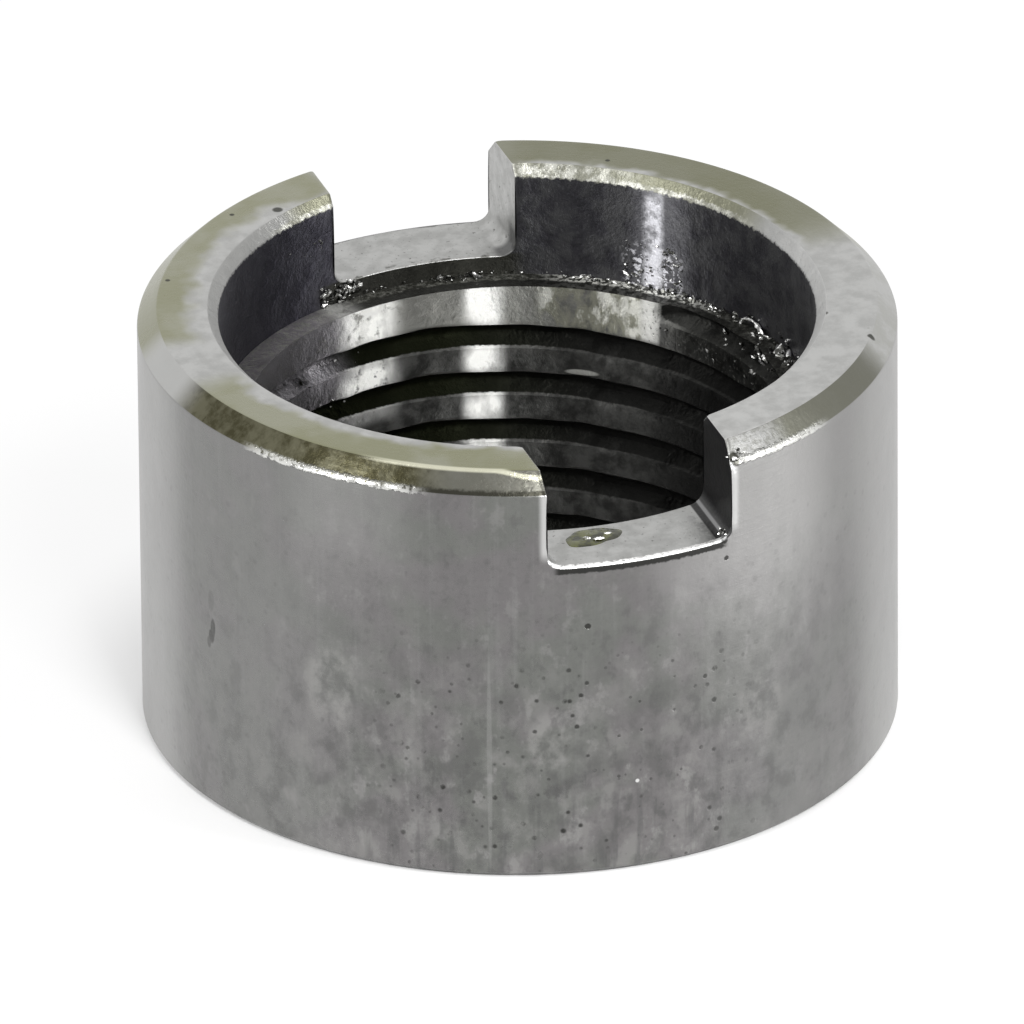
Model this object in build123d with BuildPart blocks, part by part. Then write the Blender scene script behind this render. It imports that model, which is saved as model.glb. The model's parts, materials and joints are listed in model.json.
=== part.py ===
from build123d import *
import math
import os

# Slotted round nut, turned from one piece of steel bar.
# Millimetres, +Z up. The origin is the centre of the plain bottom face, the slotted end is on top,
# and the slot runs across the nut along Y.

# Blank
outer_diameter = 57.0
height = 33.5
top_edge_chamfer = 1.5
bottom_edge_chamfer = 0.4

# Bore, and the smooth counterbore above the thread
bore_diameter = 40.7
counterbore_diameter = 44.8
counterbore_depth = 9.0
mouth_chamfer = 0.8
bore_bottom_chamfer = 1.0

# Right-hand thread. Its crests are the bore wall, and one helical groove is cut into that wall:
# the groove's middle crosses the +X side of the bore at groove_height_at_x.
thread_pitch = 4.0
thread_depth = 1.2
groove_root_width = 0.6
flank_angle = 60.0
groove_height_at_x = -0.6

# Driving slot, milled right across the top, with the small radius of the cutter in its floor corners
slot_width = 14.5
slot_depth = 7.5
slot_corner_radius = 1.2

os.makedirs("parts", exist_ok=True)

bore_radius = bore_diameter / 2
shoulder_height = height - counterbore_depth

# One turn of the groove, as the threading tool leaves it. Its section is a trapezoid on the +X side,
# drawn a little past the bore wall so that the cut is open.
overcut = thread_depth / 3
flank_slope = math.tan(math.radians(flank_angle / 2))
half_root = groove_root_width / 2
half_mouth = half_root + (thread_depth + overcut) * flank_slope

with BuildPart() as groove_turn:
    with BuildLine() as groove_path:
        Helix(thread_pitch, thread_pitch, bore_radius)
    with BuildSketch(Plane.XZ) as groove_section:
        with BuildLine() as groove_outline:
            Polyline(
                (bore_radius - overcut, -half_mouth),
                (bore_radius + thread_depth, -half_root),
                (bore_radius + thread_depth, half_root),
                (bore_radius - overcut, half_mouth),
                close=True,
            )
        make_face()
    sweep(path=groove_path.wire(), is_frenet=True)

# The turns run from below the bottom face to above the counterbore's floor
groove_start = groove_height_at_x - math.ceil(groove_height_at_x / thread_pitch + 1) * thread_pitch
groove_turns = math.ceil((shoulder_height - groove_start) / thread_pitch + 1)

with BuildPart() as nut:
    # The turned blank, bored and counterbored
    with BuildSketch() as blank:
        Circle(outer_diameter / 2)
    extrude(amount=height)
    with Locations(Plane.XY.offset(height)):
        CounterBoreHole(bore_radius, counterbore_diameter / 2, counterbore_depth)

    # Chamfers: outside and mouth at the top, outside and bore at the bottom
    top_edges = nut.edges().group_by(Axis.Z)[-1].sort_by(SortBy.RADIUS)
    bottom_edges = nut.edges().group_by(Axis.Z)[0].sort_by(SortBy.RADIUS)
    chamfer(top_edges[-1], top_edge_chamfer)
    chamfer(top_edges[0], mouth_chamfer)
    chamfer(bottom_edges[-1], bottom_edge_chamfer)
    chamfer(bottom_edges[0], bore_bottom_chamfer)

    # The thread, turn by turn
    for turn in range(groove_turns):
        with Locations((0, 0, groove_start + turn * thread_pitch)):
            add(groove_turn.part, mode=Mode.SUBTRACT)

    # The slot
    with BuildSketch(Plane.XZ) as slot_section:
        with Locations((0, height - slot_depth)):
            Rectangle(slot_width, 2 * slot_depth, align=(Align.CENTER, Align.MIN))
        fillet(slot_section.vertices().group_by(Axis.Z)[0], slot_corner_radius)
    extrude(amount=outer_diameter, both=True, mode=Mode.SUBTRACT)

nut.part.label = "nut"
export_step(nut.part, "parts/nut.step")
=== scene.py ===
import json
import math
from functools import partial

import bpy
import numpy as np
from mathutils import Matrix, Vector


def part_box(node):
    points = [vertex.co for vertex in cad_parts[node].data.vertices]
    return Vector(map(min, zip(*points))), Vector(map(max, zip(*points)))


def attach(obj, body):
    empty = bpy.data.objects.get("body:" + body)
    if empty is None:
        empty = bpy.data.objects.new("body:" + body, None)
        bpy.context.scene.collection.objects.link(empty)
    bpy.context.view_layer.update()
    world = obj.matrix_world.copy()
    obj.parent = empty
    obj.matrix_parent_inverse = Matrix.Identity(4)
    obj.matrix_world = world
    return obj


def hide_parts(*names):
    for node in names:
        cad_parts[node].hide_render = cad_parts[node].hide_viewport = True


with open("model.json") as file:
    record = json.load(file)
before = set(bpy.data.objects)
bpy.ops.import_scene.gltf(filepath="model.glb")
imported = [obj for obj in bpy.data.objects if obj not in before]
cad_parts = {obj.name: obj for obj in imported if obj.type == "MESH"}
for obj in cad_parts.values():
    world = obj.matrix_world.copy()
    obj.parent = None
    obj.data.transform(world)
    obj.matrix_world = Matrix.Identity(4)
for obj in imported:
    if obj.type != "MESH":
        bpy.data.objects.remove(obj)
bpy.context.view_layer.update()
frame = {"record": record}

# ---------------------------------------------------------------------------------------------
# The nut. One ring of free-cutting steel: turned outside, bored, counterbored, threaded with a
# single-point tool and then slotted straight across with an end mill, so that it is one closed
# surface with no seam. Sizes here are in millimetres.
# ---------------------------------------------------------------------------------------------
MM = 0.001
mounts = {mount["name"]: mount for mount in frame["record"]["mounts"]}
high_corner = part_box("nut")[1]

outer_radius = high_corner[0] / MM
height = high_corner[2] / MM
crest_radius = mounts["thread"]["dims"]["r_mm"]
counterbore_radius = mounts["counterbore"]["dims"]["r_mm"]
counterbore_depth = 9.0
shoulder_height = height - counterbore_depth
floor_height = mounts["driving_slot"]["pos_m"][2] / MM
half_slot = 7.25
floor_fillet = 1.2
top_chamfer = 1.5
mouth_chamfer = 0.8
bottom_chamfer = 0.4
bore_bottom_chamfer = 1.0
pitch = 4.0
thread_depth = 1.2
half_root = 0.3
half_groove = half_root + thread_depth * math.tan(math.radians(30))
groove_height_at_x = -0.6

edge_break = 0.12
# Worn edges of the slot's walls, each as its width along the surface and its depth
slot_edge_breaks = ((0.36, 0.15), (0.7, 0.14))
lip_round = 0.3
below_floor = 0.4


def bezier_path(corners, cuts, counts, arc_steps):
    """A run of straight stretches whose corners are quadratic Bezier curves.

    corners holds the first point, the corners and the last point. cuts is how far from each
    corner its curve starts, counts how many steps each straight stretch has.
    """
    corners = [np.array(corner, float) for corner in corners]
    points = []
    leave = corners[0]
    for index in range(1, len(corners)):
        before, here = corners[index - 1], corners[index]
        along = (here - before) / np.linalg.norm(here - before)
        last = index == len(corners) - 1
        arrive = here if last else here - along * cuts[index - 1]
        steps = np.linspace(0, 1, counts[index - 1] + 1)[:, None]
        points.append((leave + (arrive - leave) * steps)[:-1])
        if last:
            points.append(here[None])
            break
        after = corners[index + 1]
        leave = here + (after - here) / np.linalg.norm(after - here) * cuts[index - 1]
        bend = np.linspace(0, 1, arc_steps + 1)[:-1, None]
        points.append((1 - bend) ** 2 * arrive + 2 * bend * (1 - bend) * here + bend**2 * leave)
    return np.concatenate(points)


# The section's top, outside to inside: over a tooth it climbs the wall, the chamfer, the top face
# and the mouth chamfer, and in the slot the same number of points cross the flat floor
arch_start = (outer_radius, floor_height - below_floor)
arch_end = (counterbore_radius, floor_height - below_floor)
arch_cuts = [edge_break] * 4
arch_counts = [12, 3, 9, 3, 10]
tooth_arch = bezier_path(
    [
        arch_start,
        (outer_radius, height - top_chamfer),
        (outer_radius - top_chamfer, height),
        (counterbore_radius + mouth_chamfer, height),
        (counterbore_radius, height - mouth_chamfer),
        arch_end,
    ],
    arch_cuts,
    arch_counts,
    4,
)
floor_arch = bezier_path(
    [
        arch_start,
        (outer_radius, floor_height),
        (outer_radius - top_chamfer, floor_height),
        (counterbore_radius + mouth_chamfer, floor_height),
        (counterbore_radius, floor_height),
        arch_end,
    ],
    [lip_round] + arch_cuts[1:],
    arch_counts,
    4,
)
arch_along = np.gradient(tooth_arch, axis=0)
arch_normal = np.stack([arch_along[:, 1], -arch_along[:, 0]], -1)
arch_normal /= np.linalg.norm(arch_normal, axis=1, keepdims=True)
above_floor = tooth_arch[:, 1] - floor_height
# How much of the slot wall's broken edge each row takes: hardly any just above the floor, all of it
# from a little higher up
edge_starts, edge_fade, foot_share, foot_fade = 0.9, 0.8, 0.06, 15
break_share = np.maximum(
    np.clip((above_floor - edge_starts) / edge_fade, 0, 1),
    np.clip((above_floor + below_floor) / foot_fade, 0, foot_share),
)

# Columns of half a turn, from the middle of the front slot round a tooth to the middle of the back
# slot. Each has a place across the slot, a rise of the floor's fillet, a share of the climb up the
# slot wall, an inset for the wall's broken edge and, on the tooth, a share of its angle.
fillet_turn = np.linspace(0, math.pi / 2, 8)[1:]
edge_turn = np.linspace(0, math.pi / 2, 7)[1:]
wall_share = np.linspace(0, 1, 9)[1:]
tooth_share = np.linspace(0, 1, 189)[1:-1]
floor_place = np.linspace(0, half_slot - floor_fillet, 9)


def columns(place, rise=0.0, share=0.0, inset=0.0, turn=-1.0):
    """Stacks the five column values, repeating those that are single numbers."""
    return np.stack(np.broadcast_arrays(place, rise, share, inset, turn))


def slot_columns(wide, deep):
    """Half of the slot: its flat floor, the fillet, the wall and the wall's outer edge, rounded as a
    quarter of an ellipse of that width and depth."""
    fillet = columns(
        half_slot - floor_fillet + floor_fillet * np.sin(fillet_turn),
        rise=floor_fillet * (1 - np.cos(fillet_turn)),
    )
    wall_run = columns(half_slot, rise=floor_fillet, share=wall_share, inset=deep * wall_share**3)
    rounding = columns(
        half_slot + wide * (1 - np.cos(edge_turn)),
        rise=floor_fillet,
        share=1.0,
        inset=deep * (1 - np.sin(edge_turn)),
    )
    return np.concatenate([columns(floor_place), fillet, wall_run, rounding], axis=1)


tooth_columns = columns(half_slot, rise=floor_fillet, share=1.0, turn=tooth_share)
first_slot = slot_columns(*slot_edge_breaks[0])
last_slot = slot_columns(*slot_edge_breaks[1])[:, ::-1]
half_turn = np.concatenate([first_slot, tooth_columns, last_slot], axis=1)
in_back_slot = np.arange(half_turn.shape[1]) >= half_turn.shape[1] - last_slot.shape[1]
column_place, column_rise, column_share, column_inset, column_turn = half_turn


def column_angle(radius):
    """The angle of each column at each radius, in radians from the middle of the front slot.

    A slot column keeps its distance from the slot's middle plane, so its angle is the arcsine of
    that distance over the radius. The tooth columns share out what is left of the half turn.
    """
    across = np.arcsin(column_place / radius)
    start = np.arcsin((half_slot + slot_edge_breaks[0][0]) / radius)
    end = math.pi - np.arcsin((half_slot + slot_edge_breaks[1][0]) / radius)
    tooth = start + column_turn * (end - start)
    slot = np.where(in_back_slot, math.pi - across, across)
    return np.where(column_turn >= 0, tooth, slot)


# The bearings between which the topmost groove hasn't started, how far round it takes to cut in,
# how far below the shoulder the crest is kept there, and over how much that fades
thread_start, thread_start_end = math.radians(32), math.radians(189)
cut_in_turn, kept_crest, kept_fade = 0.15, 1.9, 0.2


def groove_radius(z, angle):
    """The bore's radius at a height and an angle from +X: the crest radius, plus the depth of the
    trapezoid groove there, whose middle climbs one pitch in each turn to the left. Sines of the
    angle make its edges wander and its width change a little, as torn ones do. The topmost groove
    runs in at thread_start: from there round to thread_start_end the crest goes up to the shoulder."""
    wander = 0.06 * np.sin(5 * angle + 1) + 0.04 * np.sin(13 * angle) + 0.03 * np.sin(31 * angle + 2)
    offset = (z - groove_height_at_x - wander - pitch * angle / (2 * math.pi)) / pitch
    offset = np.abs(offset - np.round(offset)) * pitch
    offset = offset + 0.04 * np.sin(9 * angle + 3) + 0.03 * np.sin(23 * angle + 1)
    share_in = np.clip((half_groove - offset) / (half_groove - half_root), 0, 1)
    uncut = np.clip((angle - thread_start) / cut_in_turn, 0, 1) * (angle < thread_start_end)
    near_shoulder = np.clip((z - shoulder_height + kept_crest) / kept_fade, 0, 1)
    share_in = share_in * (1 - uncut * near_shoulder)
    return crest_radius + thread_depth * share_in


# Offsets within one pitch, from the groove's middle: root, flank, crest and flank, closer together
# where the section turns
pitch_steps = np.array([0.0, 0.29, 0.31, 0.65, 0.93, 1.11, 1.4, 2.0, 2.6, 2.89, 3.07, 3.35, 3.69, 3.71])
turns_of_rows = math.ceil(shoulder_height / pitch) + 2
thread_rows = (np.arange(turns_of_rows)[:, None] * pitch + pitch_steps).ravel()
thread_top = groove_height_at_x + pitch * math.ceil((shoulder_height - groove_height_at_x) / pitch)

outer_wall = np.linspace(bottom_chamfer, floor_height - below_floor, 16)[:-1]
counterbore_wall = np.linspace(floor_height - below_floor, shoulder_height, 5)[1:]


def ring_rows(radius, z):
    """Rows that are whole circles, as (radius, height) arrays of rows by columns."""
    radius, z = np.broadcast_arrays(radius, z)
    ones = np.ones(half_turn.shape[1])
    return radius[:, None] * ones, z[:, None] * ones


def arch_rows():
    """The rows over the teeth and through the slots: the floor's path, raised by the fillet, and
    from there on up the slot wall to the tooth's path."""
    lift = np.clip((floor_arch[:, 1] - floor_height + below_floor) / below_floor, 0, 1)
    radius = floor_arch[:, :1] + 0 * column_rise
    z = floor_arch[:, 1:] + lift[:, None] * column_rise
    pull = break_share[:, None] * column_inset
    tooth_radius = tooth_arch[:, :1] - arch_normal[:, :1] * pull
    tooth_z = tooth_arch[:, 1:] - arch_normal[:, 1:] * pull
    return radius + column_share * (tooth_radius - radius), z + column_share * (tooth_z - z)


def build_nut():
    """The nut's whole skin as a grid of rows (round the section) by columns (round the axis)."""
    upper = [
        ring_rows(outer_radius, outer_wall),
        arch_rows(),
        ring_rows(counterbore_radius, counterbore_wall),
    ]
    halves = []
    for half in range(2):
        start = half * math.pi
        blocks = [(radius, z, column_angle(radius) + start) for radius, z in upper]
        angle = column_angle(np.full(half_turn.shape[1], counterbore_radius)) + start
        from_x = angle - math.pi / 2
        edge = groove_radius(shoulder_height, from_x)
        steps = np.linspace(0, 1, 5)[1:-1, None]
        radius = counterbore_radius + (edge - counterbore_radius) * steps
        blocks.append((radius, 0 * radius + shoulder_height, 0 * radius + angle))
        z = thread_top + pitch * angle / (2 * math.pi) - thread_rows[:, None]
        z = np.clip(z, 0, shoulder_height)
        radius = np.maximum(groove_radius(z, from_x), crest_radius + bore_bottom_chamfer - z)
        blocks.append((radius, z, 0 * z + angle))
        inner = radius[-1]
        steps = np.linspace(0, 1, 5)[1:, None]
        radius = inner + (outer_radius - bottom_chamfer - inner) * steps
        wide = np.maximum(radius, counterbore_radius)
        blocks.append((radius, 0 * radius, column_angle(wide) + start))
        radius = np.full((1, half_turn.shape[1]), outer_radius)
        blocks.append((radius, 0 * radius + bottom_chamfer, column_angle(radius) + start))
        halves.append([np.concatenate([block[part] for block in blocks]) for part in range(3)])
    radius, z, angle = [np.concatenate([halves[0][p][:, :-1], halves[1][p]], axis=1) for p in range(3)]
    heading = angle - math.pi / 2
    return np.stack([radius * np.cos(heading), radius * np.sin(heading), z], -1)


def dent(grid, bearing, level, size, depth):
    """Presses the outside in and a little down round a point: by depth there, falling off as a bell
    of that size."""
    heading = math.radians(bearing)
    centre = np.array([outer_radius * math.cos(heading), outer_radius * math.sin(heading), level])
    away_squared = np.sum((grid - centre) ** 2, axis=-1)
    push = depth * np.exp(-away_squared / (2 * size**2)) * (away_squared < (5 * size) ** 2)
    outward_and_up = np.array([math.cos(heading), math.sin(heading), 0.6])
    return grid - push[..., None] * outward_and_up


def weld(grid):
    """The grid's points without the repeats, and its faces: quads, triangles where two neighbouring
    corners are one point, and none where fewer than three different corners are left."""
    points = grid.reshape(-1, 3)
    keys = np.round(points * 1e5).astype(np.int64)
    _, first, index = np.unique(keys, axis=0, return_index=True, return_inverse=True)
    index = index.reshape(grid.shape[:2])
    quads = np.stack([index[:-1, :-1], index[:-1, 1:], index[1:, 1:], index[1:, :-1]], -1).reshape(-1, 4)
    new_corner = quads != np.roll(quads, 1, axis=1)
    folded = (quads[:, 0] == quads[:, 2]) | (quads[:, 1] == quads[:, 3])
    whole = ~folded & (new_corner.sum(axis=1) > 2)
    quads, new_corner = quads[whole], new_corner[whole]
    ends = np.cumsum(new_corner.sum(axis=1))
    faces = [face.tolist() for face in np.split(quads[new_corner], ends[:-1])]
    return points[first], faces


def add_mesh(name, points, faces):
    """A mesh object in metres at the origin, smooth apart from edges sharper than 42 degrees."""
    mesh = bpy.data.meshes.new(name)
    mesh.from_pydata((points * MM).tolist(), [], faces)
    mesh.validate()
    mesh.polygons.foreach_set("use_smooth", [True] * len(mesh.polygons))
    mesh.set_sharp_from_angle(angle=math.radians(42))
    mesh.update()
    piece = bpy.data.objects.new(name, mesh)
    bpy.context.scene.collection.objects.link(piece)
    return piece


nut_grid = build_nut()
# Knocks along the chamfer's lower edge: bearing, height, size and depth
knocks = [
    (-74.6, 32.2, 0.36, 0.34),
    (-70.5, 32.3, 0.2, 0.1),
    (-134, 32.1, 0.3, 0.1),
    (-129, 32.2, 0.25, 0.08),
    (20, 32, 0.5, 0.12),
]
for knock in knocks:
    nut_grid = dent(nut_grid, *knock)
nut = add_mesh("nut_body", *weld(nut_grid))
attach(nut, "root")
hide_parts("nut")


class Signal:
    """A shader socket. Arithmetic on signals adds Math nodes to their material."""

    def __init__(self, tree, socket=None):
        self.tree, self.socket = tree, socket

    def node(self, kind, settings, inputs, outlet=0):
        """Adds a node: its settings first, then the values or links of its sockets."""
        made = self.tree.nodes.new(kind)
        for name, value in settings.items():
            setattr(made, name, value)
        for name, value in inputs.items():
            if isinstance(value, Signal):
                self.tree.links.new(value.socket, made.inputs[name])
            else:
                made.inputs[name].default_value = value
        return Signal(self.tree, made.outputs[outlet])

    def maths(self, operation, *values):
        return self.node("ShaderNodeMath", {"operation": operation}, dict(enumerate(values)))

    def __add__(self, other):
        return self.maths("ADD", self, other)

    def __sub__(self, other):
        return self.maths("SUBTRACT", self, other)

    def __rsub__(self, other):
        return self.maths("SUBTRACT", other, self)

    def __mul__(self, other):
        return self.maths("MULTIPLY", self, other)

    def __truediv__(self, other):
        return self.maths("DIVIDE", self, other)

    def larger(self, other):
        return self.maths("MAXIMUM", self, other)

    __radd__ = __add__
    __rmul__ = __mul__

    def ramp(self, low, high):
        """0 below low and 1 above high with a smooth rise between, or the reverse where low > high."""
        inputs = {"Value": self, "From Min": low, "From Max": high}
        return self.node("ShaderNodeMapRange", {"interpolation_type": "SMOOTHSTEP"}, inputs)

    def tint(self, start, end):
        """A colour from start, where this is 0, to end, where it is 1."""
        sides = {}
        for slot, colour in ((6, start), (7, end)):
            sides[slot] = colour if isinstance(colour, Signal) else (*colour, 1)
        return self.node("ShaderNodeMix", {"data_type": "RGBA"}, {0: self, **sides}, 2)

    def stretch(self, x, y, z):
        return self.node("ShaderNodeVectorMath", {"operation": "MULTIPLY"}, {0: self, 1: (x, y, z)})

    def cloud(self, scale, detail=3.0, roughness=0.55):
        """Soft noise on a place in millimetres, from 0 to 1 and mostly near a half."""
        inputs = {"Vector": self, "Scale": scale, "Detail": detail, "Roughness": roughness}
        return self.node("ShaderNodeTexNoise", {}, inputs)

    def dots(self, scale, size, share):
        """Round dots of about a size in cells, some larger, in a share of the cells, as a soft mask."""
        cell = self.node("ShaderNodeTexVoronoi", {}, {"Vector": self, "Scale": scale})
        colour = Signal(self.tree, cell.socket.node.outputs["Color"])
        pick = self.node("ShaderNodeSeparateColor", {}, {0: colour})
        other = Signal(self.tree, pick.socket.node.outputs[1])
        spot = (cell * (1.5 - other * 0.8)).ramp(size * 1.25, size * 0.55)
        return spot * pick.ramp(1 - share, 1.001 - share) * (other * 0.6 + 0.4)


def steel_places(name, roughness, anisotropy):
    """A steel material, its shader, and the signals that its patterns are made from: the place in
    millimetres, the radius, the height, and x and y as shares of the radius."""
    material = bpy.data.materials.new(name)
    material.use_nodes = True
    shader = material.node_tree.nodes["Principled BSDF"]
    shader.inputs["Metallic"].default_value = 1.0
    shader.inputs["Roughness"].default_value = roughness
    shader.inputs["Anisotropic"].default_value = anisotropy
    shader.inputs["Anisotropic Rotation"].default_value = 0.25
    blank = Signal(material.node_tree)
    place = blank.node("ShaderNodeTexCoord", {}, {}, 3).stretch(1000, 1000, 1000)
    split = blank.node("ShaderNodeSeparateXYZ", {}, {0: place})
    x, y, z = [Signal(material.node_tree, split.socket.node.outputs[i]) for i in range(3)]
    radius = blank.maths("SQRT", x * x + y * y)
    return material, shader, place, radius, z, x / radius, y / radius


def bearing_mask(east, north, first, last, soft=4.0):
    """1 between two bearings in degrees from +X, first to last the short way, fading over soft."""
    middle, half = math.radians((first + last) / 2), abs(last - first) / 2
    along = east * math.cos(middle) + north * math.sin(middle)
    return along.ramp(math.cos(math.radians(half + soft)), math.cos(math.radians(max(half - soft, 0))))


def spot_mask(radius, z, east, north, bearing, level, half_wide, half_tall):
    """1 inside an ellipse on a wall at a bearing in degrees and a level, fading at its rim."""
    sine, cosine = math.sin(math.radians(bearing)), math.cos(math.radians(bearing))
    across = radius * (north * cosine - east * sine) / half_wide
    rise = (z - level) / half_tall
    facing = (east * cosine + north * sine).ramp(0, 0.1)
    return (across * across + rise * rise).ramp(1.3, 0.5) * facing


def wire(shader, socket, signal):
    shader.id_data.links.new(signal.socket, shader.inputs[socket])


def bump(shader, signal, rise):
    """Raises the surface by a signal, by rise in millimetres where it is 1."""
    inputs = {"Strength": 1.0, "Distance": rise * MM, "Height": signal}
    wire(shader, "Normal", signal.node("ShaderNodeBump", {}, inputs))


# Outside: a cloudy satin grey with pits low at the front, a facing cut on top that oil has stained
# olive in patches, and a darker oily chamfer with a bright burr along its lower edge
outside, shader, place, radius, z, east, north = steel_places("turned steel, oiled", 0.42, 0.6)
arc = partial(bearing_mask, east, north)
spot = partial(spot_mask, radius, z, east, north)
cloud_big = place.cloud(0.13, 3, 0.6)
cloud_small = place.stretch(1, 1, 0.7).cloud(0.55, 5, 0.65)
cloud_fine = place.cloud(2.6, 3, 0.6)
streak = place.stretch(1, 1, 0.03).cloud(1.3, 3, 0.6)
greenish, purplish = (0.177, 0.181, 0.170), (0.189, 0.181, 0.182)
wall = cloud_big.ramp(0.42, 0.58).tint(greenish, purplish)
# Darker and lighter cloud, strongest low at the front, and faint upright streaks and runs
middle = arc(-142, -72, 22) * 0.65 + 0.35
low = z.ramp(25, 5) * middle
wall = (cloud_small.ramp(0.55, 0.68) * (low * 0.7 + 0.5)).tint(wall, (0.26, 0.256, 0.25))
wall = (cloud_small.ramp(0.46, 0.32) * (low * 0.4 + 0.45)).tint(wall, (0.125, 0.124, 0.122))
wall = (streak.ramp(0.5, 0.72) * 0.18).tint(wall, (0.3, 0.3, 0.295))
wall = (cloud_fine.ramp(0.5, 0.3) * 0.3).tint(wall, (0.14, 0.14, 0.137))
# Painted light: the wall lighter away from the front, and brighter still in two upright bands at the far
# left and right
painted_side_light = 1 - arc(-128, -86, 24)
wall = (painted_side_light * 0.6).tint(wall, (0.26, 0.258, 0.254))
blotch = place.stretch(1, 1, 0.8).cloud(0.5, 4, 0.6)
wall = (blotch.ramp(0.52, 0.34) * (low * 0.5 + 0.1)).tint(wall, (0.118, 0.117, 0.115))
wall = (blotch.ramp(0.5, 0.66) * (low * 0.5 + 0.1)).tint(wall, (0.27, 0.266, 0.258))
painted_outline_sheen = arc(-206, -176, 9) + arc(-42, -12, 9)
wall = (painted_outline_sheen * 0.7).tint(wall, (0.44, 0.437, 0.43))
runlet = place.stretch(1, 1, 0.12).cloud(0.8, 3, 0.6)
wall = (runlet.ramp(0.48, 0.36) * z.ramp(12, 2) * arc(-132, -78, 8) * 0.5).tint(wall, (0.1, 0.1, 0.1))
# Pale patches low on the wall: bearing, level, half width and half height
for patch in ((-138.7, 14.2, 2.2, 3.4), (-104.5, 11.3, 1.7, 2.6), (-70.3, 10.8, 2.2, 3.0)):
    pale = spot(*patch) * blotch.ramp(0.40, 0.62)
    wall = (pale * 0.55).tint(wall, (0.33, 0.325, 0.315))
# Pits: most of them low at the front, a few higher up
pitted = arc(-128, -78, 12) * z.ramp(23, 15) * cloud_small.ramp(0.38, 0.55)
few = z.ramp(30, 26) * 0.1
pits = place.dots(1.15, 0.215, 0.85) * pitted.larger(few)
# Painted highlights: paler high up beside the slot, further to the right and at the left; and painted shade:
# duller low at the right of the slot
painted_highlight = arc(-80, -64, 12) + arc(-62, -38, 10) * 0.55
painted_highlight = painted_highlight * (z + cloud_small * 9).ramp(18, 31)
painted_highlight = painted_highlight + arc(-140, -131, 8) * 0.4 * (z + cloud_small * 6).ramp(24, 32)
wall = (painted_highlight * 0.75).tint(wall, (0.38, 0.375, 0.37))
painted_shade = arc(-76, -62, 8) * z.ramp(15, 8)
wall = (painted_shade * 0.22).tint(wall, (0.1, 0.1, 0.1))
# One long nick at the left, three grains, a faint upright seam and a bright speck
nick = spot(-162.5, 15.1, 0.3, 0.85)
nick = nick.larger(spot(-162.9, 14.4, 0.36, 0.6))
nick = nick.larger(spot(-163.5, 13.8, 0.26, 0.5) * 0.7)
nick = nick.larger(spot(-162.9, 17.4, 0.4, 0.95) * 0.3)
nick = nick * (cloud_fine * 0.5 + 0.3)
grains = spot(-98.8, 20.9, 0.26, 0.24)
grains = grains + spot(-76.3, 24.4, 0.2, 0.2)
grains = grains + spot(-76.6, 25.9, 0.28, 0.3)
seam = spot(-113.7, 9.6, 0.2, 9.0)
wall = (seam * 0.3).tint(wall, (0.34, 0.34, 0.33))
wall = spot(-91.3, 7.4, 0.16, 0.16).tint(wall, (0.7, 0.7, 0.69))
# The painted shadow under the slot's lip, a dark line, and the worn upright edges of the slot
torn_z = z + (cloud_fine - 0.5) * 0.35
lip_shadow = torn_z.ramp(25.96, 25.8) * torn_z.ramp(25.3, 25.46)
from_slot = (east * radius).larger(east * radius * -1.0)
lip_shadow = lip_shadow * from_slot.ramp(7.0, 6.4)
wall = (lip_shadow * north.ramp(0, -0.1) * 0.95).tint(wall, (0.035, 0.035, 0.033))
worn = from_slot.ramp(8.0, 7.5) * from_slot.ramp(7.1, 7.26) * z.ramp(26.2, 27.4)
wall = (worn * 0.85).tint(wall, (0.62, 0.62, 0.61))
pits = pits.larger(grains * 0.9)
wall = (pits * 0.95).larger(nick).tint(wall, (0.03, 0.03, 0.028))

# The top face, painted lighter than the wall as a face lit from above is, and stained by a film of oil in
# three arcs
face = cloud_small.ramp(0.35, 0.65).tint((0.40, 0.40, 0.39), (0.5, 0.5, 0.49))
ring = radius + (place.cloud(0.4, 2, 0.5) - 0.5) * 3.0 + (cloud_small - 0.5) * 0.35
film_left = arc(106, 174, 3) * (ring + arc(104, 114, 8) * 1.5).ramp(23.9, 25.6)
film_front = arc(-170, -100, 4) * (ring + arc(-122, -100, 8) * 0.8).ramp(23.6, 24.8)
film_back = arc(8, 75, 8) * ring.ramp(23.0, 24.0)
film = film_left * 0.95 + film_front + film_back
face = (film * 0.95).tint(face, cloud_big.ramp(0.4, 0.6).tint((0.25, 0.25, 0.155), (0.30, 0.30, 0.22)))
face = (place.stretch(1, 1, 0).dots(0.3, 0.07, 0.5) * 0.8).tint(face, (0.06, 0.06, 0.045))
face = (film_back * 0.6).tint(face, (0.14, 0.14, 0.09))

# The chamfer, darkest at the front left
chamfer = cloud_small.ramp(0.4, 0.6).tint((0.40, 0.40, 0.38), (0.47, 0.47, 0.46))
dark_left = arc(-171, -122, 4)
dark_front = arc(-124, -102, 5)
dark_right = arc(-66, -36, 4)
olive_left = arc(106, 178, 3)
clean_left = arc(172, 190, 4)
olive_back = arc(5, 74, 5)
chamfer = ((olive_left + olive_back) * 0.9).tint(chamfer, (0.27, 0.27, 0.19))
chamfer = clean_left.tint(chamfer, (0.46, 0.46, 0.45))
chamfer = (dark_front * 0.85).tint(chamfer, (0.11, 0.108, 0.085))
dark_oil = cloud_small.ramp(0.4, 0.62).tint((0.058, 0.054, 0.030), (0.125, 0.12, 0.08))
chamfer = dark_left.tint(chamfer, dark_oil)
chamfer = (dark_right * 0.92).tint(chamfer, (0.14, 0.14, 0.11))
by_slot = arc(-75.5, -66, 4)
scuffed = cloud_fine.ramp(0.38, 0.56).tint((0.16, 0.16, 0.15), (0.23, 0.23, 0.225))
chamfer = (by_slot * 0.9).tint(chamfer, scuffed)
low_edge = torn_z.ramp(32.42, 32.2) * arc(-126, -102, 4)
chamfer = (low_edge * 0.9).tint(chamfer, (0.035, 0.034, 0.026))

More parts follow.
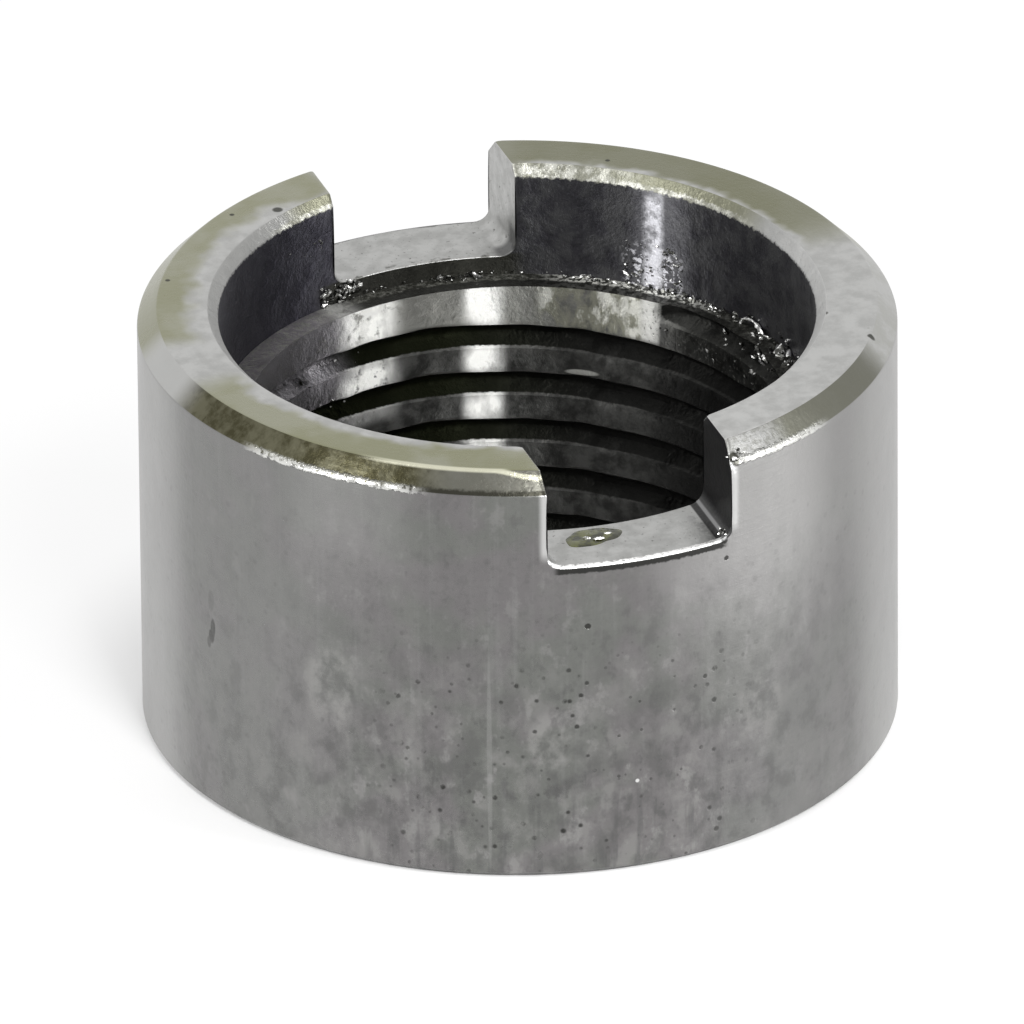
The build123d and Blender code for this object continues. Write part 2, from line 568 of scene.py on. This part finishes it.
# The three together, with the torn bright lines along the chamfer's edges
on_chamfer = z.ramp(32.0, 32.06) * radius.ramp(26.96, 27.02)
on_face = z.ramp(33.4, 33.42) * radius.ramp(27.04, 27.0)
outer = on_face.tint(on_chamfer.tint(wall, chamfer), face)
burr_arc = arc(-153, -125, 3) + arc(-74, -57, 3)
burr_line = burr_arc * (z + cloud_fine * 0.5).ramp(32.0, 32.14) * (z + cloud_fine * 0.5).ramp(32.62, 32.4)
dip = z + arc(-104, -96, 9) * 0.5
inner_line = arc(-131, -104, 5) * dip.ramp(33.26, 33.4) * dip.ramp(33.66, 33.52) * radius.ramp(26.7, 26.95)
outer = (burr_line * cloud_fine.ramp(0.3, 0.55)).tint(outer, (0.72, 0.72, 0.69))
outer = (inner_line * 0.85).tint(outer, (0.72, 0.71, 0.56))
# Grains and nicks on top: where each is, and its size
nicks = spot(-74.2, 32.2, 0.42, 0.5) * cloud_fine.ramp(0.3, 0.45)
top_grains = (
    (-11.9, 20.7, 0.42), (-15.4, 21.1, 0.2), (-23.4, 12.5, 0.2), (-18.3, 12.9, 0.32),
    (22.6, 1.2, 0.3), (21.1, -9.4, 0.28), (23.1, -14.1, 0.3), (14.2, 19.9, 0.2),
)
for spot_x, spot_y, size in top_grains:
    away_x, away_y = (east * radius - spot_x) / size, (north * radius - spot_y) / size
    nicks = nicks + (away_x * away_x + away_y * away_y).ramp(1.4, 0.4) * z.ramp(31, 32)
outer = (nicks * 0.9).tint(outer, (0.03, 0.03, 0.022))
wire(shader, "Base Color", outer)
on_top = z.ramp(31.9, 32.0)
sleek = film * on_top + arc(-172, -98, 16) * (1 - on_top)
wire(shader, "Roughness", 0.42 - 0.14 * sleek + (cloud_small - 0.5) * 0.2 - burr_line * 0.15)
turning = radius.node("ShaderNodeCombineXYZ", {}, {0: radius * 9.0, 2: z * 9.0}).cloud(1.0, 2, 0.5)
bump(shader, turning * 0.25 + cloud_fine * 0.5 - pits + burr_line * 2, 0.05)

# Bore: a dark counterbore, darkened with painted shade, with a ragged bright mouth; thread crests with
# painted shade and painted highlights; black grooves and oily sludge
inside, shader, place, radius, z, east, north = steel_places("bored steel, oily", 0.43, 0.92)
arc = partial(bearing_mask, east, north)
cloud_small = place.cloud(0.6, 5, 0.65)
cloud_fine = place.cloud(3.0, 4, 0.65)
ragged = (cloud_fine - 0.5) * 1.1
mouth_height = z + ragged * 0.8
mouth = place.cloud(1.3, 3, 0.6).ramp(0.38, 0.6).tint((0.3, 0.3, 0.25), (0.66, 0.66, 0.6))
cream = arc(52, 96, 10)
rim_line = (z + (cloud_fine - 0.5) * 0.6).ramp(33.0, 32.86)
cream = cream.larger(arc(22, 56, 6).larger(arc(104, 122, 6)) * rim_line)
dull = arc(20, 60, 6).larger(arc(104, 116, 6))
clean = arc(-70, 12, 10).tint((0.40, 0.40, 0.39), (0.56, 0.56, 0.55))
mouth = cream.tint(dull.tint(clean, (0.27, 0.27, 0.20)), mouth)
# The counterbore's wall, dark with painted shade and darker still below the back slot, with a painted
# highlight at its back: a bright upright streak
well = cloud_small.ramp(0.4, 0.6).tint((0.062, 0.061, 0.068), (0.085, 0.085, 0.088))
well = (arc(100, 200, 20) * 0.7).tint(well, (0.058, 0.056, 0.072))
under_slot = arc(70, 112, 3) * z.ramp(26.4, 26.1)
well = (under_slot * 0.8).tint(well, (0.03, 0.03, 0.022))
sway = (place.cloud(0.35, 2, 0.5) - 0.5) * 5
core = cloud_small.ramp(0.38, 0.56)
painted_streak = arc(42.9, 44.1, 2.2) * (core * 0.75 + 0.25) * (z + sway).ramp(33.2, 31.0)
painted_streak = painted_streak + arc(39, 44, 5.5) * 0.12
flecks = place.cloud(2.0, 3, 0.6)
painted_streak = painted_streak.larger(arc(38.5, 48, 3) * z.ramp(28.6, 26.6) * flecks.ramp(0.53, 0.58))
well = (painted_streak * 0.95).tint(well, (0.95, 0.95, 1.0))
# The crests of the thread, painted in shade: lighter on the topmost crest away from the right, darker lower
# down the bore
right_dark = arc(-80, 62, 8)
patchy = place.stretch(1, 1, 0.6).cloud(0.6, 4, 0.6)
shine_back = arc(78, 78.4, 6.8)
shine_back = shine_back * shine_back * shine_back
shine_left = arc(104, 106, 10)
shine_left = shine_left * shine_left * z.ramp(14, 17) * cloud_small.ramp(0.68, 0.56)
# Painted highlights on the crests at the back, near white: 1 along the middle of each crest there, less
# towards the grooves
crest_level = 2.35
crest_middle = z.maths("COSINE", (z - crest_level) * (2 * math.pi / pitch)).larger(z.ramp(22.0, 22.8))
painted_highlight = shine_back.larger(shine_left) * (crest_middle * 0.5 + 0.66) * (patchy.ramp(0.34, 0.6) * 0.45 + 0.66)
drained = cloud_small.ramp(0.35, 0.65)
deep_land = drained.tint((0.04, 0.04, 0.038), (0.10, 0.10, 0.095))
high_land = drained.tint((0.12, 0.12, 0.115), (0.215, 0.215, 0.2))
land = z.ramp(19.0, 21.3).tint(deep_land, high_land)
topmost = z.ramp(20.7, 21.3)
land = (topmost * (1 - right_dark) * 0.6).tint(land, (0.38, 0.38, 0.35))
# Painted highlights: bright patches and a bright line on the topmost crest at the back right
highlight_patches = patchy.ramp(0.5, 0.6).tint((0.32, 0.32, 0.26), (0.85, 0.85, 0.78))
land = (topmost * arc(43, 66, 2) * patchy.ramp(0.36, 0.5)).tint(land, highlight_patches)
land = (topmost * arc(39.8, 43, 1.2) * cloud_fine.ramp(0.3, 0.45)).tint(land, (0.9, 0.9, 0.86))
land = (arc(112, 178, 8) * cloud_fine.ramp(0.6, 0.45)).tint(land, (0.24, 0.225, 0.24))
# A painted highlight: a small bright oval on a crest at the back right
land = (spot_mask(radius, z, east, north, 57.1, 17.35, 1.3, 0.26) * 0.8).tint(land, (0.6, 0.6, 0.56))
land = painted_highlight.tint(land, (0.99, 0.99, 0.96))
land = (cloud_fine.ramp(0.34, 0.22) * 0.7).tint(land, (0.05, 0.05, 0.045))
black = arc(-85, 34, 4) * (z + ragged * 2).ramp(18.0, 20.5)
sludge = place.cloud(0.5, 2, 0.5).ramp(0.45, 0.62).tint((0.02, 0.02, 0.018), (0.055, 0.056, 0.052))
land = (black * cloud_fine.ramp(0.66, 0.54)).tint(land, sludge)
land = (arc(-85, 40, 15) * z.ramp(20, 18)).tint(land, (0.022, 0.022, 0.021))
# The grooves, and what hides them at either side
groove = arc(70, 200, 20).tint((0.017, 0.017, 0.016), (0.008, 0.009, 0.005))
thread = (radius + (cloud_fine - 0.5) * 0.25).ramp(20.5, 20.62).tint(land, groove)
caked = arc(-30, 36, 6) * z.ramp(20.5, 22.5) * cloud_small.ramp(0.35, 0.6)
thread = (caked * 0.8).tint(thread, (0.045, 0.045, 0.042))
hazed = arc(112, 230, 6) * (z + ragged).ramp(17.5, 19.5)
thread = (hazed * cloud_small.ramp(0.3, 0.5)).tint(thread, (0.27, 0.26, 0.275))
# The shoulder between the counterbore and the thread
on_ledge = z.ramp(24.42, 24.46)
ledge = cloud_fine.ramp(0.42, 0.66).tint((0.035, 0.035, 0.03), (0.15, 0.15, 0.135))
ledge = (arc(30, 64, 4) * flecks.ramp(0.45, 0.54)).tint(ledge, (0.75, 0.75, 0.7))
inner_rim = (radius + ragged * 0.25).ramp(21.5, 21.2) * arc(20, 112, 6)
ledge = (inner_rim * 0.9).tint(ledge, (0.022, 0.022, 0.02))
ledge = arc(112, 200, 8).tint(ledge, land)
inner = on_ledge.tint(thread, ledge)
in_well = radius.ramp(22.32, 22.38)
inner = in_well.tint(inner, well)
inner = mouth_height.ramp(32.55, 32.7).tint(inner, mouth)
wire(shader, "Base Color", inner)
# Rougher where the highlights are painted, which spreads the lamps' highlights there
rougher_at_highlights = (painted_highlight * 0.13 + shine_left * 0.1) * z.ramp(24.4, 24.3)
wire(shader, "Roughness", 0.43 + (cloud_small - 0.5) * 0.3 + rougher_at_highlights)
bump(shader, cloud_fine * 0.5 + cloud_small * 1.6, 0.09)

# Slot: end-milled last, so it is the cleanest steel, with small dark marks
milled, shader, place, radius, z, east, north = steel_places("milled steel", 0.42, 0.2)
cloud_small = place.cloud(0.7, 4, 0.6)
cloud_fine = place.cloud(3.0, 3, 0.6)
floor_colour = cloud_small.ramp(0.35, 0.65).tint((0.36, 0.36, 0.35), (0.46, 0.46, 0.45))
floor_colour = (cloud_fine.ramp(0.38, 0.28) * 0.8).tint(floor_colour, (0.09, 0.09, 0.08))
across, front = east * radius, north.ramp(0, -0.1)
smudge = across.ramp(4.3, 6.0) * front * cloud_small.ramp(0.42, 0.58)
floor_colour = (smudge * 0.75).tint(floor_colour, (0.16, 0.16, 0.155))
# Darker along the front floor's corner with the +X wall
corner_band = across.ramp(5.95, 6.1) * front
corner_tone = across.ramp(6.4, 6.7).tint((0.02, 0.02, 0.02), (0.05, 0.05, 0.05))
floor_colour = (corner_band * 0.94).tint(floor_colour, corner_tone)
# A painted highlight along the fillet
fillet_highlight = across.ramp(6.5, 6.6) * across.ramp(6.85, 6.72) * front
floor_colour = (fillet_highlight * 0.5).tint(floor_colour, (0.4, 0.4, 0.4))
# A painted highlight along the front lip of the floor, ragged
lip_highlight = (radius + (cloud_fine - 0.5) * 0.5).ramp(28.08, 28.22) * front * across.ramp(6.7, 6.2)
floor_colour = (lip_highlight * (cloud_fine.ramp(0.36, 0.52) * 0.75 + 0.25)).tint(floor_colour, (0.95, 0.95, 0.94))
marks = radius.ramp(23.3, 22.7) * (1 - front) * cloud_small.ramp(0.52, 0.62)
floor_colour = (marks * 0.8).tint(floor_colour, (0.08, 0.08, 0.07))
rear_line = (radius + (cloud_small - 0.5) * 0.9).ramp(28.1, 28.35) * (1 - front)
floor_colour = (rear_line * 0.85).tint(floor_colour, (0.07, 0.07, 0.065))
corner = across.ramp(5.6, 6.4) * (1 - front) * radius.ramp(24.2, 23.4) * z.ramp(28.6, 27.6)
floor_colour = (corner * 0.85).tint(floor_colour, (0.08, 0.08, 0.08))
wire(shader, "Base Color", floor_colour)
bump(shader, cloud_fine, 0.03)

# Each face's finish by where its middle is: 0 outside, 1 in the bore, 2 in the slot
for material in (outside, inside, milled):
    nut.data.materials.append(material)
middles = np.empty(len(nut.data.polygons) * 3)
nut.data.polygons.foreach_get("center", middles)
middles = middles.reshape(-1, 3) / MM
middle_radius = np.hypot(middles[:, 0], middles[:, 1])
past_wall, under_floor, off_edge = 0.02, 0.14, 0.015
in_slot = (np.abs(middles[:, 0]) < half_slot + past_wall) & (middles[:, 2] > floor_height - under_floor)
in_slot &= (middle_radius < outer_radius - off_edge) & (middle_radius > counterbore_radius + off_edge)
in_bore = middle_radius < counterbore_radius + mouth_chamfer
finish = np.where(in_slot, 2, np.where(in_bore, 1, 0)).astype(np.int32)
nut.data.polygons.foreach_set("material_index", finish)

# ---------------------------------------------------------------------------------------------
# Torn burrs and chips. The threading tool and the slot's end mill left small bright and oily
# curls of steel at the thread's start and in the slot's inner corners, still hanging on there.
# ---------------------------------------------------------------------------------------------
random = np.random.default_rng(7)


def ring_quads(rings, turns):
    """Point numbers as rings by turns, the numbers one turn on, and the faces between the rings."""
    cell = np.arange(rings * turns).reshape(rings, turns)
    nextone = np.roll(cell, -1, axis=1)
    quads = np.stack([cell[:-1], cell[1:], nextone[1:], nextone[:-1]], -1).reshape(-1, 4)
    return cell, nextone, quads.tolist()


def chip_lumps(centres, sizes, stretch, along):
    """Small closed lumps: unit spheres of rings and columns, dented by random factors, scaled, and
    drawn out by stretch along the direction given for each, at their centres."""
    count = len(centres)
    ring_angle = np.linspace(0, math.pi, 6)[1:-1]
    turn_angle = np.linspace(0, 2 * math.pi, 8)[:-1]
    ring, around = np.meshgrid(ring_angle, turn_angle, indexing="ij")
    ball = np.stack([np.sin(ring) * np.cos(around), np.sin(ring) * np.sin(around), np.cos(ring)], -1)
    ball = np.concatenate([ball.reshape(-1, 3), [[0, 0, 1], [0, 0, -1]]])
    lump = ball[None] * random.uniform(0.6, 1.25, (count, len(ball), 1))
    lump = lump * random.uniform(0.5, 1.1, (count, 1, 3)) * sizes[:, None, None]
    turned = np.linalg.qr(random.normal(size=(count, 3, 3)))[0]
    lump = np.einsum("nij,nkj->nki", turned * np.sign(np.linalg.det(turned))[:, None, None], lump)
    ahead = np.einsum("nki,ni->nk", lump, along)
    lump = lump + ahead[..., None] * along[:, None] * (stretch[:, None, None] - 1) + centres[:, None]
    cell, nextone, quads = ring_quads(*ring.shape)
    top, low = cell.size, cell.size + 1
    caps = [[top, a, b] for a, b in zip(cell[0], nextone[0])]
    caps += [[low, b, a] for a, b in zip(cell[-1], nextone[-1])]
    faces = [[int(v) + step * len(ball) for v in face] for step in range(count) for face in quads + caps]
    return lump.reshape(-1, 3), faces


# Each patch: how many, first and last bearing, lowest and highest radius and height, smallest and
# largest size, in degrees and millimetres
chip_patches = [
    (90, 20, 62, 21.6, 22.4, 24.45, 24.7, 0.06, 0.22),
    (24, -10, 20, 22.25, 22.4, 24.5, 25.4, 0.06, 0.24),
    (26, -12, 20, 20.9, 22.2, 24.4, 24.6, 0.12, 0.36),
    (46, -6, 43, 20.32, 20.6, 21.2, 22.6, 0.08, 0.3),
    (26, -4, 30, 20.7, 21.6, 22.6, 24.3, 0.1, 0.34),
    (60, 37, 50, 22.33, 22.42, 24.6, 28.2, 0.05, 0.17),
    (7, -77.2, -75.8, 27.9, 28.35, 26.2, 26.8, 0.1, 0.24),
    (9, -75.6, -72.4, 27.7, 28.35, 31.9, 32.9, 0.08, 0.22),
    (60, 103, 112.5, 22.1, 22.45, 24.4, 26.2, 0.08, 0.34),
    (22, 77, 88, 21.6, 22.35, 24.45, 24.8, 0.1, 0.24),
    (22, 106, 124, 20.3, 20.8, 17.0, 21.0, 0.05, 0.13),
    (2, 4.2, 5.4, 21.6, 21.8, 24.35, 24.6, 0.5, 0.68),
    (45, 62, 112, 22.1, 22.4, 24.5, 24.9, 0.04, 0.13),
    (9, 112, 121, 22.38, 22.42, 29.2, 30.4, 0.06, 0.15),
]
spots, sizes = [], []
for count, first, last, r_low, r_high, z_low, z_high, small, large in chip_patches:
    bearing = np.radians(random.uniform(first, last, count))
    reach = random.uniform(r_low, r_high, count)
    level = random.uniform(z_low, z_high, count)
    spots.append(np.stack([reach * np.cos(bearing), reach * np.sin(bearing), level], -1))
    sizes.append(small + (large - small) * random.uniform(0, 1, count) ** 2)
spots, sizes = np.concatenate(spots), np.concatenate(sizes)
# Each chip lies roughly along the bore's turn
chip_radius, chip_scatter = 22, 0.5
along_bore = np.stack([-spots[:, 1], spots[:, 0], 0 * sizes], -1) / chip_radius
heading = random.normal(size=spots.shape) * chip_scatter + along_bore
heading /= np.linalg.norm(heading, axis=1, keepdims=True)
chips = add_mesh("burr_chips", *chip_lumps(spots, sizes, random.uniform(1, 2.6, len(sizes)), heading))

# The feathered edge where the thread runs out through the shoulder, as one strand of bright curls
along_strand = np.linspace(0, 1, 64)
# Its knees: share of its length, bearing, radius and height
zigzag = (
    (0, 26, 21.4, 24.35), (0.2, 21.5, 21.5, 24.1), (0.34, 19, 22.1, 25.1), (0.52, 15.2, 22.1, 24.75),
    (0.68, 11.5, 22.0, 24.3), (0.84, 13.5, 21.3, 23.7), (1, 9.8, 21.1, 23.0),
)
knee, knee_bearing, knee_reach, knee_level = np.array(zigzag).T
bearing = np.radians(np.interp(along_strand, knee, knee_bearing))
reach = np.interp(along_strand, knee, knee_reach) + 0.08 * np.sin(31 * along_strand)
level = np.interp(along_strand, knee, knee_level) + 0.07 * np.sin(50 * along_strand)
strand_line = np.stack([reach * np.cos(bearing), reach * np.sin(bearing), level], -1)
strand_way = np.gradient(strand_line, axis=0)
strand_way /= np.linalg.norm(strand_way, axis=1, keepdims=True)
strand_size = random.uniform(0.1, 0.2, len(along_strand))
# Grains of swarf that lie in the oil on the slot's floor
swarf = np.array(
    [(-3.05, -24.25, 26.14), (-2.3, -24.62, 26.14), (-1.25, -24.0, 26.12), (-2.9, -24.35, 26.12)]
)
swarf_size = [0.17, 0.19, 0.12, 0.1]
strand_line = np.concatenate([strand_line, swarf])
strand_way = np.concatenate([strand_way, np.tile([[1.0, 0, 0]], (len(swarf), 1))])
strand_size = np.concatenate([strand_size, swarf_size])
strand_stretch = random.uniform(1.6, 3.2, len(strand_size))
strand = add_mesh("burr_strand", *chip_lumps(strand_line, strand_size, strand_stretch, strand_way))
bright, shader, place, *_ = steel_places("torn steel, bright", 0.3, 0.0)
wire(shader, "Base Color", place.cloud(1.6, 3, 0.7).ramp(0.4, 0.5).tint((0.3, 0.3, 0.29), (0.9, 0.9, 0.88)))
strand.data.materials.append(bright)
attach(strand, "root")

torn, shader, place, *_ = steel_places("torn steel", 0.28, 0.0)
speckle = place.cloud(1.6, 3, 0.7)
wire(shader, "Base Color", speckle.ramp(0.46, 0.6).tint((0.06, 0.06, 0.055), (0.8, 0.8, 0.78)))
bump(shader, speckle, 0.05)
chips.data.materials.append(torn)
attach(chips, "root")

# ---------------------------------------------------------------------------------------------
# A drop of cutting oil left on the slot's floor: a thin clear olive film with a rounded rim.
# ---------------------------------------------------------------------------------------------
oil_middle = (-2.5, -24.0)
oil_long, oil_wide, oil_thick, oil_sunk = 2.1, 1.35, 0.14, 0.02


def oil_drop():
    """A closed lens: an upper skin whose height is a power of one less the square of the share of
    its outline's radius, on a flat underside just inside the floor."""
    share = np.linspace(0.04, 1, 24)[:, None]
    around = np.linspace(0, 2 * math.pi, 97)[:-1][None]
    outline = 1 + 0.10 * np.sin(2 * around + 0.6) + 0.07 * np.sin(3 * around + 2) + 0.03 * np.sin(7 * around)
    x = oil_middle[0] + oil_long * outline * share * np.cos(around)
    y = oil_middle[1] + oil_wide * outline * share * np.sin(around)
    swell = oil_thick * (1 - share**2) ** 0.6 * (0.8 + 0.2 * np.cos(3 * around) * share)
    upper = np.stack([x, y, floor_height + swell], -1)
    lower = np.stack([x, y, 0 * swell + floor_height - oil_sunk], -1)
    grid = np.concatenate([upper, lower[::-1]])
    cell, _, quads = ring_quads(*grid.shape[:2])
    faces = quads + [cell[0].tolist(), cell[-1, ::-1].tolist()]
    return grid.reshape(-1, 3), faces


drop = add_mesh("oil_drop", *oil_drop())
oil = bpy.data.materials.new("cutting oil")
oil.use_nodes = True
shader = oil.node_tree.nodes["Principled BSDF"]
shader.inputs["Roughness"].default_value = 0.05
place = Signal(oil.node_tree).node("ShaderNodeTexCoord", {}, {}, 3).stretch(1000, 1000, 1000)
olive = place.cloud(0.8, 2).ramp(0.42, 0.6).tint((0.018, 0.019, 0.006), (0.085, 0.09, 0.028))
wire(shader, "Base Color", olive)
bump(shader, place.cloud(1.2, 2), 0.1)
drop.data.materials.append(oil)
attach(drop, "root")

# ---------------------------------------------------------------------------------------------
# Floor, lamps and camera. A bright white surround: the floor glows for the camera and for rays that
# mirror, so that it reads as plain white, and still takes the nut's soft shadow.
# ---------------------------------------------------------------------------------------------
floor_mesh = bpy.data.meshes.new("floor")
floor_reach, floor_level = 3.0, -1e-5
floor_corners = [
    (x * floor_reach, y * floor_reach, floor_level) for x, y in ((-1, -1), (1, -1), (1, 1), (-1, 1))
]
floor_mesh.from_pydata(floor_corners, [], [(0, 1, 2, 3)])
floor = bpy.data.objects.new("floor", floor_mesh)
bpy.context.scene.collection.objects.link(floor)
paint = bpy.data.materials.new("white paper")
paint.use_nodes = True
paper = paint.node_tree.nodes["Principled BSDF"]
paper.inputs["Base Color"].default_value = (0.9, 0.9, 0.9, 1)
paper.inputs["Roughness"].default_value = 0.8


def seen_directly(blank):
    """1 for rays from the camera and for those that mirror or pass through something."""
    rays = blank.node("ShaderNodeLightPath", {}, {})
    camera_ray, glossy, through = [
        Signal(blank.tree, rays.socket.node.outputs[name])
        for name in ("Is Camera Ray", "Is Glossy Ray", "Is Transmission Ray")
    ]
    return camera_ray.larger(glossy).larger(through)


blank = Signal(paint.node_tree)
glow = blank.node("ShaderNodeEmission", {}, {"Color": (1, 1, 1, 1), "Strength": 1.0})
# The paper inside the bore is left as dark as its own shade makes it
split = blank.node("ShaderNodeSeparateXYZ", {}, {0: blank.node("ShaderNodeTexCoord", {}, {}, 3)})
x, y = [Signal(blank.tree, split.socket.node.outputs[i]) for i in range(2)]
outdoors = blank.maths("SQRT", x * x + y * y).ramp(0.024, 0.04)
lit = Signal(paint.node_tree, paper.outputs[0])
mixed = blank.node("ShaderNodeMixShader", {}, {0: seen_directly(blank) * outdoors * 0.8, 1: lit, 2: glow})
paint.node_tree.links.new(mixed.socket, paint.node_tree.nodes["Material Output"].inputs[0])
floor_mesh.materials.append(paint)

world = bpy.data.worlds.new("room")
bpy.context.scene.world = world
world.use_nodes = True
room = world.node_tree.nodes["Background"]
room.inputs["Color"].default_value = (1, 1, 1, 1)
strength = seen_directly(Signal(world.node_tree)) * 0.3 + 0.7
world.node_tree.links.new(strength.socket, room.inputs["Strength"])

# Each lamp's bearing round the nut, lift above the table, width, height and power
lamps = {
    "top": (-91, 44, 0.14, 0.2, 1.7),
    "right": (-38, 27, 0.16, 0.42, 1.9),
    "left": (-165, 30, 0.12, 0.40, 1.3),
}
lamp_distance = 0.6
for name, (bearing, lift, width, tall, power) in lamps.items():
    lamp_data = bpy.data.lights.new(name, "AREA")
    lamp_data.shape = "RECTANGLE"
    lamp_data.size, lamp_data.size_y = width, tall
    lamp_data.energy = power
    lamp = bpy.data.objects.new(name, lamp_data)
    bpy.context.scene.collection.objects.link(lamp)
    around, lift = math.radians(bearing), math.radians(lift)
    lamp_way = Vector((math.cos(around) * math.cos(lift), math.sin(around) * math.cos(lift), math.sin(lift)))
    facing = lamp_way.to_track_quat("Z", "Y").to_matrix().to_4x4()
    lamp.matrix_world = Matrix.Translation(lamp_way * lamp_distance) @ facing

# The camera's turn round the nut, its lift and its roll, and its distance in radii of the nut
azimuth = math.radians(-19.0)
elevation = math.radians(27.67)
roll = math.radians(0.484)
distance_in_radii = 72.9
distance = distance_in_radii * outer_radius * MM
level_part = math.cos(elevation)
forward = np.array([-math.sin(azimuth) * level_part, math.cos(azimuth) * level_part, -math.sin(elevation)])
right = np.array([math.cos(azimuth), math.sin(azimuth), 0])
up = np.cross(right, forward)
right, up = math.cos(roll) * right - math.sin(roll) * up, math.sin(roll) * right + math.cos(roll) * up
# The camera aims this far left of and below the nut's middle, in millimetres
aim_left, aim_below = 0.5, 0.82
target = np.array([0, 0, height * MM / 2]) - right * aim_left * MM - up * aim_below * MM
lens = bpy.data.cameras.new("camera")
lens.sensor_width = 36.0
lens.lens = 971.5
lens.clip_start = 0.1
lens.clip_end = 50.0
camera = bpy.data.objects.new("camera", lens)
bpy.context.scene.collection.objects.link(camera)
turn_matrix = np.eye(4)
turn_matrix[:3, 0], turn_matrix[:3, 1], turn_matrix[:3, 2] = right, up, -forward
turn_matrix[:3, 3] = target - forward * distance
camera.matrix_world = Matrix(turn_matrix.tolist())
bpy.context.scene.camera = camera

bpy.context.scene.view_settings.view_transform = "Standard"
